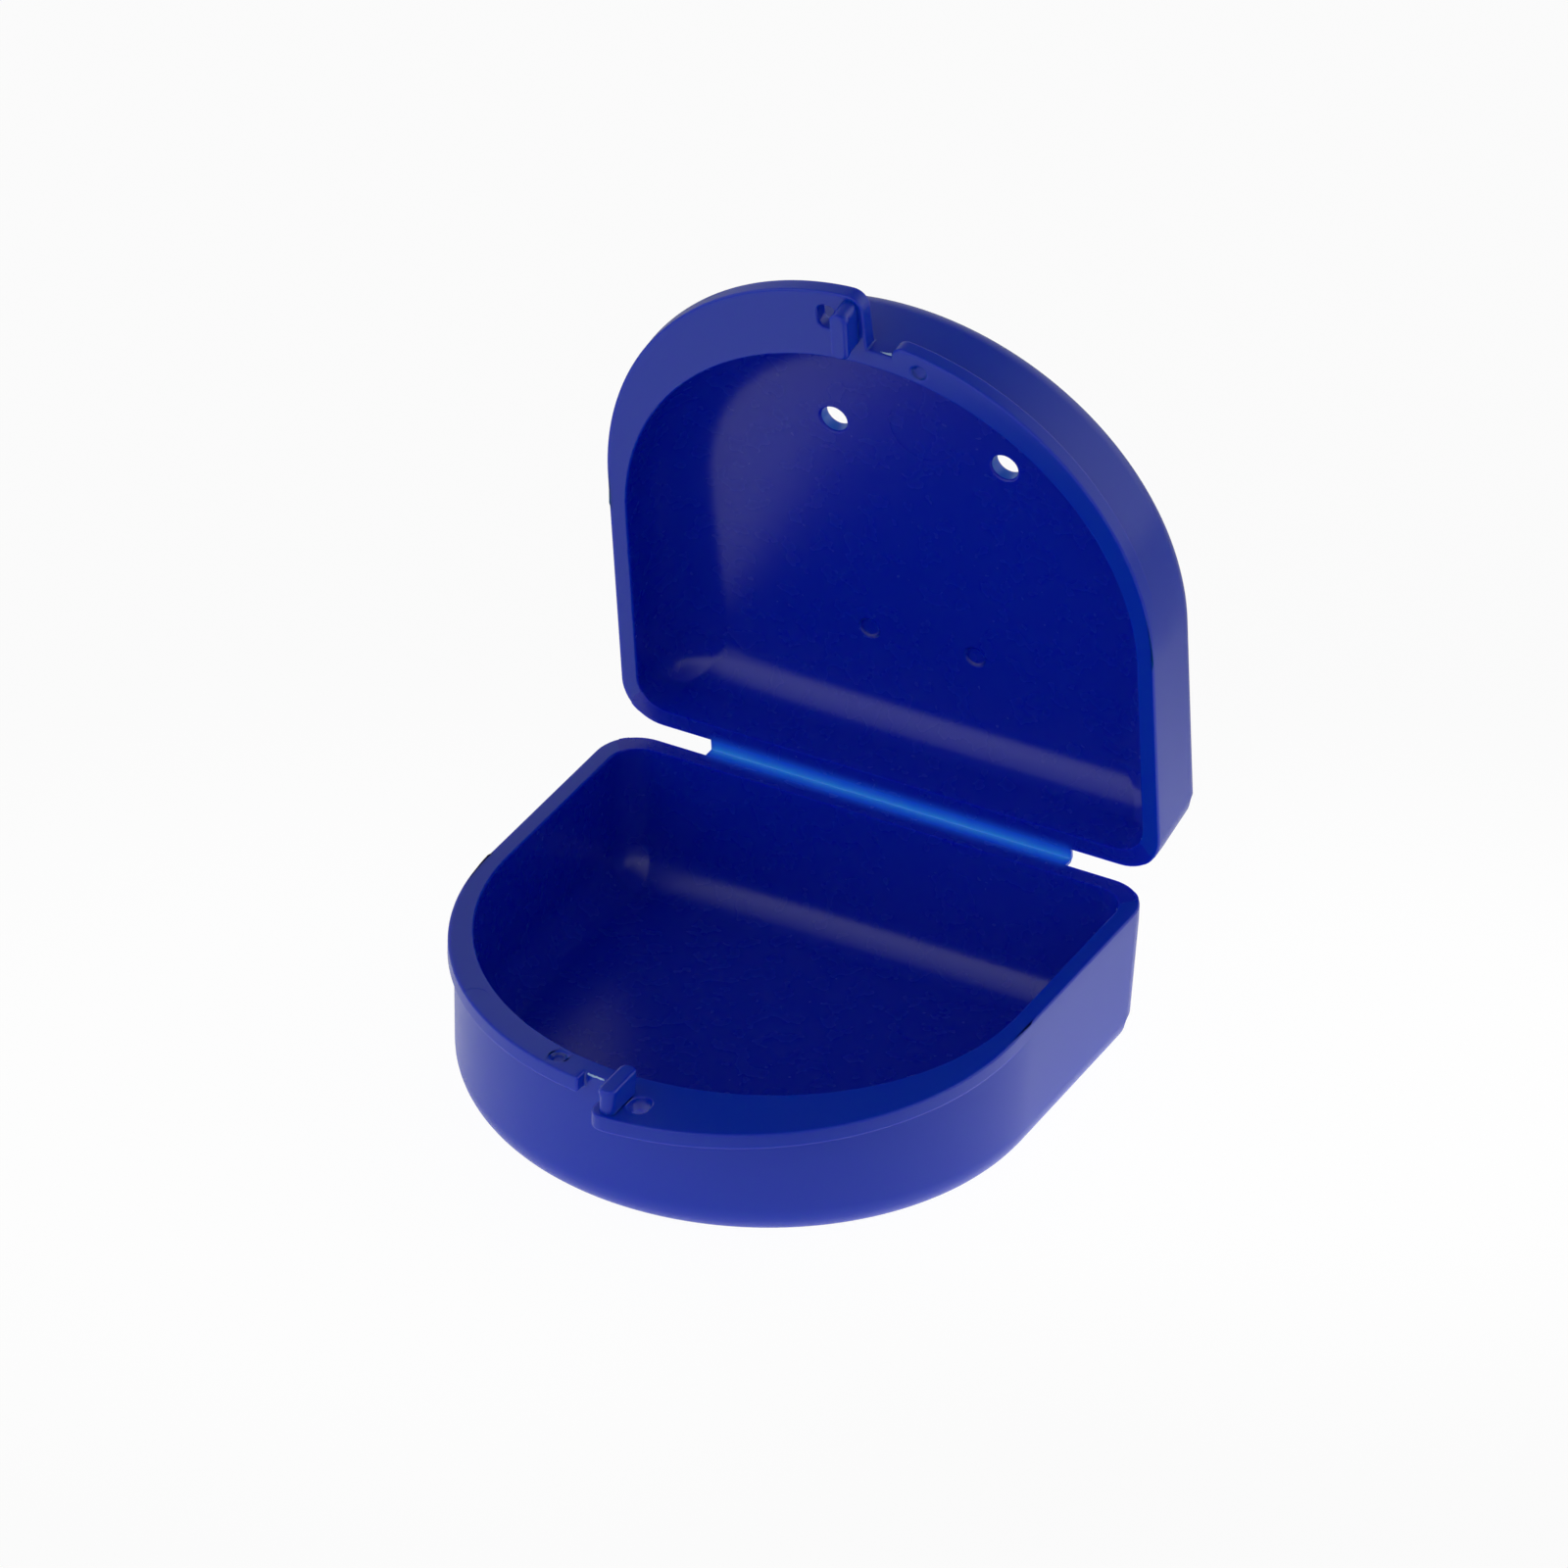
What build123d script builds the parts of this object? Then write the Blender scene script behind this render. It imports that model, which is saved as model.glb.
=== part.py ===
from build123d import *
from math import cos, radians, sin, sqrt, tan
import os

# Retainer case: a deep base tray and a shallow lid tray on a living hinge.
# Millimetres, +Z up, X along the hinge, -Y to the front, origin at the middle of the base's underside.
# Both trays are drawn in the same tray frame: its origin is on the hinge line, its -Y runs to the front,
# its +Z runs from the seam into the depth of the tray, and the wide rim is on its -X side.

os.makedirs("parts", exist_ok=True)

# Outline of both trays at the seam
half_width = 37.3
side_length = 32.8
rear_corner_radius = 5.6
wall = 2.4
inner_corner_radius = 3.9
draft = 1.4

# Depths and edges of the two trays
base_depth = 20.2
base_floor = 2.0
base_edge_radius = 4.8
lid_depth = 12.2
lid_roof = 2.0
lid_edge_radius = 3.2
inner_edge_radius = 3.4
edge_margin = 0.05

# Living hinge
hinge_setback = 1.44
web_length = 50.0
web_thickness = 0.5
seam_gap = 0.2
open_angle = 80.65

# Rims: how far each stands out past the wall at the front, and how far ahead of the wall's arc centre
# its own curve is centred, which is also where both rims start on the sides
rim_thickness = 2.14
wide_rim_reach = 7.6
wide_rim_shift = 5.2
narrow_rim_reach = 1.9
narrow_rim_shift = 1.3
rim_corner_radius = 2.0

# Latch at the middle of the front: a prong on each wide rim and a notch for the other tray's prong
prong_inset = 1.05
prong_width = 2.15
prong_front_inset = 0.55
prong_rear_inset = 0.85
prong_edge_radius = 0.35
notch_clearance = 0.8
catch_reach = 0.25
catch_gap = 0.26
catch_height = 0.7

# Small moulded features
rim_hole_width = 2.6
rim_hole_length = 3.5
rim_hole_corner = 1.25
rim_hole_gap = 0.6
rim_hole_shift = 0.6
rim_dimple_radius = 1.2
rim_dimple_depth = 0.5
rim_dimple_from_end = 3.8
rim_dimple_inset = 0.5
vent_radius = 2.1
vent_half_spacing = 11.7
vent_from_hinge = 50.0
roof_dimple_radius = 1.5
roof_dimple_depth = 0.5
roof_dimple_half_spacing = 7.3
roof_dimple_from_hinge = 18.0

# Places worked out from the sizes
front_arc_y = -hinge_setback - side_length
wall_front_y = front_arc_y - half_width
wide_front_y = wall_front_y - wide_rim_reach
hinge_y = (hinge_setback - wide_front_y) / 2
half_gap = seam_gap / 2
draft_slope = tan(radians(draft))
hinge_z = base_depth + half_gap
notch_width = prong_inset + prong_width + notch_clearance
prong_length = wide_rim_reach - prong_front_inset - prong_rear_inset
prong_height = rim_thickness + seam_gap + catch_gap + catch_height

# Tray frames: the base's looks down, the lid's is swung open about the hinge line
base_plane = Plane(origin=(0, hinge_y, base_depth), x_dir=(-1, 0, 0), z_dir=(0, 0, -1))
lid_normal = (0, sin(radians(open_angle)), cos(radians(open_angle)))
lid_hinge_plane = Plane(origin=(0, hinge_y, hinge_z), x_dir=(1, 0, 0), z_dir=lid_normal)
lid_plane = lid_hinge_plane.offset(half_gap)


# One D-shaped outline, drawn inwards from the outer wall by a given inset
def tray_outline(inset, corner_radius):
    reach = half_width - inset
    rear_y = -hinge_setback - inset
    with BuildSketch() as outline:
        with BuildLine():
            Polyline((-reach, front_arc_y), (-reach, rear_y), (reach, rear_y), (reach, front_arc_y))
            ThreePointArc((reach, front_arc_y), (0, front_arc_y - reach), (-reach, front_arc_y))
        make_face()
        rear_corners = outline.vertices().group_by(Axis.Y)[-1]
        fillet(rear_corners, corner_radius)
    return outline.sketch


# The full outside of a tray, with its draft and its rounded bottom edge
def tray_envelope(plane, depth, edge_radius):
    lean = depth * draft_slope
    with BuildPart() as envelope:
        with BuildSketch(plane):
            add(tray_outline(0, rear_corner_radius))
        with BuildSketch(plane.offset(depth)):
            add(tray_outline(lean, rear_corner_radius - lean))
        loft()
        bottom = envelope.faces().sort_by(Axis(plane.origin, plane.z_dir))[-1]
        fillet(bottom.edges(), min(edge_radius, rear_corner_radius - lean - edge_margin))
    return envelope.part


# The hollow of a tray, from its mouth down to the inner face of its floor
def tray_cavity(plane, depth):
    lean = depth * draft_slope
    with BuildPart() as cavity:
        with BuildSketch(plane):
            add(tray_outline(wall, inner_corner_radius))
        with BuildSketch(plane.offset(depth)):
            add(tray_outline(wall + lean, inner_corner_radius - lean))
        loft()
        bottom = cavity.faces().sort_by(Axis(plane.origin, plane.z_dir))[-1]
        fillet(bottom.edges(), min(inner_edge_radius, inner_corner_radius - lean - edge_margin))
    return cavity.part


# Small blind dimple in the seam face, where the narrow rim meets the wall near the latch
def rim_dimple(plane):
    dimple_x = notch_width + rim_dimple_from_end
    dimple_y = front_arc_y - sqrt(half_width ** 2 - dimple_x ** 2) + rim_dimple_inset
    with BuildPart() as dimple:
        with BuildSketch(plane):
            with Locations((dimple_x, dimple_y)):
                Circle(rim_dimple_radius)
        extrude(amount=rim_dimple_depth)
    return dimple.part


# One rim's outline: the end of an ellipse that meets the straight side, cut off beside the latch
def rim_outline(side, reach, arc_shift, end_x):
    arc_y = front_arc_y - arc_shift
    arc_length = half_width + reach - arc_shift
    align_x = Align.MAX if side < 0 else Align.MIN
    with BuildSketch() as rim:
        with Locations((0, arc_y)):
            Ellipse(half_width, arc_length)
        with Locations((side * end_x, front_arc_y - wide_rim_shift)):
            Rectangle(half_width, arc_length, align=(align_x, Align.MAX), mode=Mode.INTERSECT)
        end_corner = rim.vertices().sort_by_distance((side * end_x, arc_y - arc_length))[0]
        fillet(end_corner, rim_corner_radius)
    return rim.sketch


# Wide rim on a tray's -X side, with the hole beside the prong
def wide_rim(plane, envelope):
    hole_x = -prong_inset - prong_width - rim_hole_gap - rim_hole_width / 2
    hole_y = (wide_front_y + wall_front_y) / 2 + rim_hole_shift
    with BuildPart() as rim:
        with BuildSketch(plane):
            add(rim_outline(-1, wide_rim_reach, wide_rim_shift, 0))
            with Locations((hole_x, hole_y)):
                RectangleRounded(rim_hole_width, rim_hole_length, rim_hole_corner, mode=Mode.SUBTRACT)
        extrude(amount=rim_thickness)
        add(envelope, mode=Mode.SUBTRACT)
    return rim.part


# Narrow rim on a tray's +X side, with its share of the dimple near its end
def narrow_rim(plane, envelope):
    with BuildPart() as rim:
        with BuildSketch(plane):
            add(rim_outline(1, narrow_rim_reach, narrow_rim_shift, notch_width))
        extrude(amount=rim_thickness)
        add(envelope, mode=Mode.SUBTRACT)
        add(rim_dimple(plane), mode=Mode.SUBTRACT)
    return rim.part


# Prong standing on the wide rim, out of the tray, with a catch along its inner side
def prong(plane):
    prong_x = -prong_inset - prong_width / 2
    prong_y = wide_front_y + prong_front_inset + prong_length / 2
    with BuildPart() as post:
        with BuildSketch(plane):
            with Locations((prong_x, prong_y)):
                SlotOverall(prong_length, prong_width, rotation=90)
        extrude(amount=-prong_height)
        with BuildSketch(plane.offset(catch_height - prong_height)):
            with Locations((prong_x + catch_reach, prong_y)):
                SlotOverall(prong_length - prong_width, prong_width, rotation=90)
        extrude(amount=-catch_height)
        top = post.faces().sort_by(Axis(plane.origin, plane.z_dir))[0]
        fillet(top.edges(), prong_edge_radius)
    return post.part


base_envelope = tray_envelope(base_plane, base_depth, base_edge_radius)
lid_envelope = tray_envelope(lid_plane, lid_depth, lid_edge_radius)

# Base tray
with BuildPart() as base_shell:
    add(base_envelope)
    add(tray_cavity(base_plane, base_depth - base_floor), mode=Mode.SUBTRACT)
    add(rim_dimple(base_plane), mode=Mode.SUBTRACT)
base_shell.part.label = "base_shell"

# Lid tray with two vents through its roof and two blind dimples inside
with BuildPart() as lid_shell:
    add(lid_envelope)
    add(tray_cavity(lid_plane, lid_depth - lid_roof), mode=Mode.SUBTRACT)
    add(rim_dimple(lid_plane), mode=Mode.SUBTRACT)
    with BuildSketch(lid_plane):
        with Locations((-vent_half_spacing, -vent_from_hinge), (vent_half_spacing, -vent_from_hinge)):
            Circle(vent_radius)
    extrude(amount=lid_depth, mode=Mode.SUBTRACT)
    with BuildSketch(lid_plane.offset(lid_depth - lid_roof + roof_dimple_depth)):
        with Locations((-roof_dimple_half_spacing, -roof_dimple_from_hinge),
                       (roof_dimple_half_spacing, -roof_dimple_from_hinge)):
            Circle(roof_dimple_radius)
    extrude(amount=-roof_dimple_depth, mode=Mode.SUBTRACT)
lid_shell.part.label = "lid_shell"

# Rims
with BuildPart() as base_rim_wide:
    add(wide_rim(base_plane, base_envelope))
base_rim_wide.part.label = "base_rim_wide"

with BuildPart() as lid_rim_wide:
    add(wide_rim(lid_plane, lid_envelope))
lid_rim_wide.part.label = "lid_rim_wide"

with BuildPart() as base_rim_narrow:
    add(narrow_rim(base_plane, base_envelope))
base_rim_narrow.part.label = "base_rim_narrow"

with BuildPart() as lid_rim_narrow:
    add(narrow_rim(lid_plane, lid_envelope))
lid_rim_narrow.part.label = "lid_rim_narrow"

# Prongs
with BuildPart() as base_prong:
    add(prong(base_plane))
base_prong.part.label = "base_prong"

with BuildPart() as lid_prong:
    add(prong(lid_plane))
lid_prong.part.label = "lid_prong"

# Hinge web: a leg off each rear edge and a bend about the hinge line between them
with BuildPart() as hinge_web:
    leg_length = hinge_setback + wall
    leg_centre = -half_gap - web_thickness / 2
    bend_radius = half_gap + web_thickness
    bend_angle = 180 - open_angle
    with BuildSketch(Plane.YZ.offset(-web_length / 2)):
        with Locations((hinge_y, hinge_z)):
            Circle(bend_radius)
            Circle(half_gap, mode=Mode.SUBTRACT)
        with Locations((hinge_y - bend_radius / 2, hinge_z)):
            Rectangle(bend_radius, 2 * bend_radius, mode=Mode.SUBTRACT)
        with Locations(Location((hinge_y, hinge_z), bend_angle)):
            with Locations((bend_radius / 2, 0)):
                Rectangle(bend_radius, 2 * bend_radius, mode=Mode.SUBTRACT)
            with Locations((leg_length / 2, leg_centre)):
                Rectangle(leg_length, web_thickness)
        with Locations((hinge_y - leg_length / 2, hinge_z + leg_centre)):
            Rectangle(leg_length, web_thickness)
    extrude(amount=web_length)
    add(base_envelope, mode=Mode.SUBTRACT)
    add(lid_envelope, mode=Mode.SUBTRACT)
hinge_web.part.label = "hinge_web"

for piece in (base_shell, lid_shell, base_rim_wide, lid_rim_wide, base_rim_narrow, lid_rim_narrow,
              base_prong, lid_prong, hinge_web):
    export_step(piece.part, f"parts/{piece.part.label}.step")
    print(piece.part.label, len(piece.part.solids()), round(piece.part.volume, 2))
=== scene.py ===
"""A retainer case moulded in one piece of blue polypropylene, standing open on its living hinge."""

import logging
import math
from abc import ABC, abstractmethod
from contextlib import contextmanager
from dataclasses import dataclass
from enum import Enum
from typing import Any, Callable, Iterator

import bmesh
import bpy
from mathutils import Matrix, Vector


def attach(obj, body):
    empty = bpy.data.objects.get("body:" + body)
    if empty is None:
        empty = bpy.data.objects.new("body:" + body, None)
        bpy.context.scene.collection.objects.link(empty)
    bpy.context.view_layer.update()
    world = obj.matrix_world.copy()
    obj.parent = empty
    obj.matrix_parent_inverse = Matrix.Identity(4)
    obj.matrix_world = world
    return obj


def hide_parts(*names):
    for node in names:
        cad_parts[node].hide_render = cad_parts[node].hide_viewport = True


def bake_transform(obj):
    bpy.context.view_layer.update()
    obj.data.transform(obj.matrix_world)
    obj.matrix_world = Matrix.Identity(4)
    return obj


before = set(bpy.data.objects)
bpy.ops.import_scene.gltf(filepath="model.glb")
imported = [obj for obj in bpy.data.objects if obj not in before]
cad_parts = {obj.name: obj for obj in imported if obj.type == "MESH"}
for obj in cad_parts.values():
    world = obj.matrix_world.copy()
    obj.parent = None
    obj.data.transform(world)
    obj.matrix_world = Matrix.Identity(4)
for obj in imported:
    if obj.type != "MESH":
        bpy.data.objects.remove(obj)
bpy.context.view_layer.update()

log = logging.getLogger("retainer_case")

Place = tuple[float, float, float]
Spot = tuple[float, float]
Colour = tuple[float, float, float, float]
Test = Callable[[Vector], bool]

# Pieces are modelled in millimetres and put in their places in metres.
MM = 0.001
# How close two places lie that count as one, and how close if one of them was worked out.
NEAR = 0.01
LOOSE = 5 * NEAR
# How far a cutting shape stands out past what it cuts.
SPARE = 1.0
# How often a mark is cut with the exact solver before the steady one takes over.
ENGRAVINGS = 4
# Sides of a round pin, and steps of a rounded upright edge.
PIN_SIDES = 48
ROUND_STEPS = 8
# The sharpest edge that is shaded smooth, and how far the larger faces lead in the shading.
SMOOTH_ANGLE = math.radians(35)
NORMAL_WEIGHT = 60
# The Z of a normal under which a face counts as upright.
UPRIGHT = 0.5
# The hinge line, how far each rear wall stands back from it, the length of its web and its opening.
HINGE: Place = (0.0, 40.29, 20.3)
SETBACK = 1.44
WEB_LENGTH = 50.0
OPEN_ANGLE = 80.65

WHITE: Colour = (1.0, 1.0, 1.0, 1.0)
BEVEL_WEIGHT = "bevel_weight_edge"


class Part(Enum):
    """What an edit-mode selection is made of."""

    VERTEX = "VERT"
    EDGE = "EDGE"
    FACE = "FACE"


class Cut(Enum):
    """How a boolean treats its second shape."""

    JOIN = "UNION"
    REMOVE = "DIFFERENCE"


class Solver(Enum):
    """How a boolean is worked out: exactly, or for closed shapes only but steady at tight folds."""

    EXACT = "EXACT"
    STEADY = "MANIFOLD"


class Side(Enum):
    """The two rims of a tray, by the direction of X in which each lies."""

    WIDE = -1
    NARROW = 1


def linear(hex_colour: str) -> Colour:
    """Turns an sRGB hex colour into linear red, green and blue.

    Args:
        hex_colour: Six hex digits after a hash.

    Returns:
        The linear colour, with an alpha of one.
    """
    channels = [int(hex_colour[i : i + 2], 16) / 255 for i in (1, 3, 5)]
    red, green, blue = (c / 12.92 if c <= 0.04045 else ((c + 0.055) / 1.055) ** 2.4
                        for c in channels)
    return red, green, blue, 1.0


def add_node(tree: bpy.types.NodeTree, kind: str, settings: dict[str, Any] | None = None,
             values: dict[Any, Any] | None = None,
             links: dict[Any, Any] | None = None) -> bpy.types.Node:
    """Adds one node to a tree, sets it up and links its inputs.

    Args:
        tree: The node tree.
        kind: The node's type name.
        settings: Properties of the node itself.
        values: Input sockets by name or number, and their constant values.
        links: Input sockets by name or number, and the output sockets that feed them.

    Returns:
        The new node.
    """
    node = tree.nodes.new(kind)
    for key, value in (settings or {}).items():
        setattr(node, key, value)
    for key, value in (values or {}).items():
        node.inputs[key].default_value = value
    for key, source in (links or {}).items():
        tree.links.new(source, node.inputs[key])
    return node


def calculate(tree: bpy.types.NodeTree, operation: str,
              *terms: bpy.types.NodeSocket | float) -> bpy.types.NodeSocket:
    """Adds a node that works out one number.

    Args:
        tree: The node tree.
        operation: The type name of the sum.
        terms: Its terms, each an output socket or a constant.

    Returns:
        The output socket with the result.
    """
    values = {i: term for i, term in enumerate(terms) if isinstance(term, float)}
    links = {i: term for i, term in enumerate(terms) if i not in values}
    node = add_node(tree, "ShaderNodeMath", {"operation": operation}, values, links)
    return node.outputs["Value"]


def ramp(tree: bpy.types.NodeTree, source: bpy.types.NodeSocket, start: float, end: float,
         first: float, last: float, smooth: bool = False) -> bpy.types.NodeSocket:
    """Adds a node that leads from one value to another while its source goes through a range.

    Args:
        tree: The node tree.
        source: The output socket that is followed.
        start: Where the range of the source starts.
        end: Where it ends.
        first: The value up to the start.
        last: The value from the end on.
        smooth: Whether the ramp sets off and arrives gently.

    Returns:
        The output socket with the value.
    """
    node = add_node(tree, "ShaderNodeMapRange",
                    {"interpolation_type": "SMOOTHSTEP" if smooth else "LINEAR"},
                    {"From Min": start, "From Max": end, "To Min": first, "To Max": last},
                    {"Value": source})
    return node.outputs["Result"]


def offset_from(tree: bpy.types.NodeTree, place: bpy.types.NodeSocket,
                middle: Place) -> bpy.types.NodeSocket:
    """Adds a node that gives the way to each place from a fixed one.

    Args:
        tree: The node tree.
        place: The output socket that gives the place.
        middle: The fixed place, in millimetres.

    Returns:
        The output socket with the way, in metres.
    """
    node = add_node(tree, "ShaderNodeVectorMath", {"operation": "SUBTRACT"},
                    {1: tuple(c * MM for c in middle)}, {0: place})
    return node.outputs["Vector"]


def length_of(tree: bpy.types.NodeTree, way: bpy.types.NodeSocket) -> bpy.types.NodeSocket:
    """Adds a node that measures a vector.

    Args:
        tree: The node tree.
        way: The output socket that gives the vector.

    Returns:
        The output socket with its length.
    """
    node = add_node(tree, "ShaderNodeVectorMath", {"operation": "LENGTH"}, None, {0: way})
    return node.outputs["Value"]


def new_material(name: str) -> bpy.types.Material:
    """Makes a material whose node tree is still empty.

    Args:
        name: The material's name.

    Returns:
        The material.
    """
    material = bpy.data.materials.new(name)
    material.use_nodes = True
    material.node_tree.nodes.clear()
    return material


def activate(piece: bpy.types.Object) -> None:
    """Makes a piece the only selected and the active object.

    Args:
        piece: The object.
    """
    for other in list(bpy.context.selected_objects):
        other.select_set(False)
    piece.select_set(True)
    bpy.context.view_layer.objects.active = piece


@contextmanager
def editing(piece: bpy.types.Object) -> Iterator[None]:
    """Holds a piece in edit mode, with nothing selected at first.

    Args:
        piece: The object to edit.

    Yields:
        Nothing.
    """
    activate(piece)
    bpy.ops.object.mode_set(mode="EDIT")
    bpy.ops.mesh.select_mode(type=Part.VERTEX.value)
    bpy.ops.mesh.select_all(action="DESELECT")
    yield
    bpy.ops.object.mode_set(mode="OBJECT")


def pick(piece: bpy.types.Object, part: Part, test: Test, facing: Test | None = None) -> None:
    """Selects, in edit mode, the elements whose every corner passes a test of its place.

    Args:
        piece: The object being edited.
        part: The kind of element.
        test: A test of a corner's place.
        facing: A test of a face's normal, where that matters too.
    """
    bpy.ops.mesh.select_mode(type=part.value)
    bpy.ops.mesh.select_all(action="DESELECT")
    mesh = bmesh.from_edit_mesh(piece.data)
    elements = {Part.VERTEX: mesh.verts, Part.EDGE: mesh.edges, Part.FACE: mesh.faces}[part]
    for element in elements:
        corners = [element] if part is Part.VERTEX else element.verts
        if all(test(corner.co) for corner in corners) and (facing is None
                                                           or facing(element.normal)):
            element.select_set(True)
    mesh.select_flush_mode()
    bmesh.update_edit_mesh(piece.data)


def round_picked(radius: float, steps: int) -> None:
    """Rounds the edges that are selected in edit mode.

    Args:
        radius: Radius of the rounding.
        steps: Steps of the rounding.
    """
    bpy.ops.mesh.bevel(offset=radius, segments=steps, profile=0.5, clamp_overlap=False)


def apply_modifier(piece: bpy.types.Object, kind: str, settings: dict[str, Any]) -> None:
    """Adds a modifier to a piece and applies it.

    Args:
        piece: The object.
        kind: The modifier's type name.
        settings: The modifier's properties.
    """
    activate(piece)
    modifier = piece.modifiers.new(kind.lower(), kind)
    for key, value in settings.items():
        setattr(modifier, key, value)
    bpy.ops.object.modifier_apply(modifier=modifier.name)


def combine(piece: bpy.types.Object, other: bpy.types.Object, cut: Cut) -> None:
    """Joins another shape to a piece, or removes it from the piece, and uses the other shape up.

    Args:
        piece: The piece that is kept.
        other: The shape that is used up.
        cut: Whether the shape is joined or removed.
    """
    apply_modifier(piece, "BOOLEAN",
                   {"operation": cut.value, "solver": Solver.EXACT.value, "object": other})
    bpy.data.objects.remove(other)


def volume(piece: bpy.types.Object) -> float:
    """Measures the volume that a closed piece holds.

    Args:
        piece: The object.

    Returns:
        Its volume.
    """
    mesh = bmesh.new()
    mesh.from_mesh(piece.data)
    size = mesh.calc_volume()
    mesh.free()
    return size


def engrave(piece: bpy.types.Object, pin: bpy.types.Object) -> None:
    """Cuts a shallow mark into a piece with soft edges, and uses the pin that shapes it up.

    The tight folds beside the soft edges can mislead the exact solver into adding the pin. A cut
    that makes the piece bigger is taken back and made again, in the end by the steady solver.

    Args:
        piece: The piece.
        pin: The shape that is cut out.
    """
    whole, size = piece.data.copy(), volume(piece)
    for solver in (Solver.EXACT,) * ENGRAVINGS + (Solver.STEADY,):
        apply_modifier(piece, "BOOLEAN", {"operation": Cut.REMOVE.value, "solver": solver.value,
                                          "object": pin})
        if volume(piece) < size:
            break
        log.info("%s: a mark is cut again", piece.name)
        spoilt, piece.data = piece.data, whole.copy()
        bpy.data.meshes.remove(spoilt)
    bpy.data.meshes.remove(whole)
    bpy.data.objects.remove(pin)


def settle(piece: bpy.types.Object) -> None:
    """Writes an object's place, turn and size into its mesh.

    Args:
        piece: The object.
    """
    activate(piece)
    bpy.ops.object.transform_apply(location=True, rotation=True, scale=True)


def put_in_place(piece: bpy.types.Object, name: str, move: Matrix) -> None:
    """Names a finished piece and takes it to its place in the whole, in metres.

    Args:
        piece: The piece, in millimetres in its own frame.
        name: Its name.
        move: The move from its own frame to its place, in millimetres.
    """
    piece.name = name
    piece.data.name = name
    piece.matrix_world = Matrix.Scale(MM, 4) @ move
    settle(piece)


def face_outwards(piece: bpy.types.Object) -> None:
    """Turns all the faces of a closed piece outwards.

    Args:
        piece: The object.
    """
    with editing(piece):
        bpy.ops.mesh.select_all(action="SELECT")
        bpy.ops.mesh.remove_doubles(threshold=NEAR / 10)
        bpy.ops.mesh.normals_make_consistent(inside=False)


def rounded_block(size: Place, centre: Place, radius: float) -> bpy.types.Object:
    """Makes a block with rounded upright edges.

    Args:
        size: Width, length and height.
        centre: The block's middle.
        radius: Radius of the upright edges.

    Returns:
        The block.
    """
    bpy.ops.mesh.primitive_cube_add(size=1, location=centre, scale=size)
    block = bpy.context.object
    settle(block)
    with editing(block):
        bpy.ops.mesh.select_mode(type=Part.EDGE.value)
        mesh = bmesh.from_edit_mesh(block.data)
        for edge in mesh.edges:
            edge.select_set(abs(edge.verts[0].co.z - edge.verts[1].co.z) > NEAR)
        bmesh.update_edit_mesh(block.data)
        round_picked(radius, ROUND_STEPS)
    face_outwards(block)
    return block


def round_pin(radius: float, place: Spot, near: float, far: float,
              narrowing: float = 0.0) -> bpy.types.Object:
    """Makes a round pin along Z, which may narrow towards its far end.

    Args:
        radius: Its radius at the near end.
        place: X and Y of its axis.
        near: Z of one end.
        far: Z of the other end.
        narrowing: How much smaller its radius is at the far end.

    Returns:
        The pin.
    """
    bpy.ops.mesh.primitive_cylinder_add(vertices=PIN_SIDES, radius=radius, depth=far - near,
                                        location=(*place, (near + far) / 2))
    pin = bpy.context.object
    settle(pin)
    if narrowing:
        with editing(pin):
            pick(pin, Part.VERTEX, lambda co: co.z > far - NEAR)
            shrink = 1 - narrowing / radius
            bpy.ops.transform.resize(value=(shrink, shrink, 1), center_override=(*place, far))
    return pin


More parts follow.
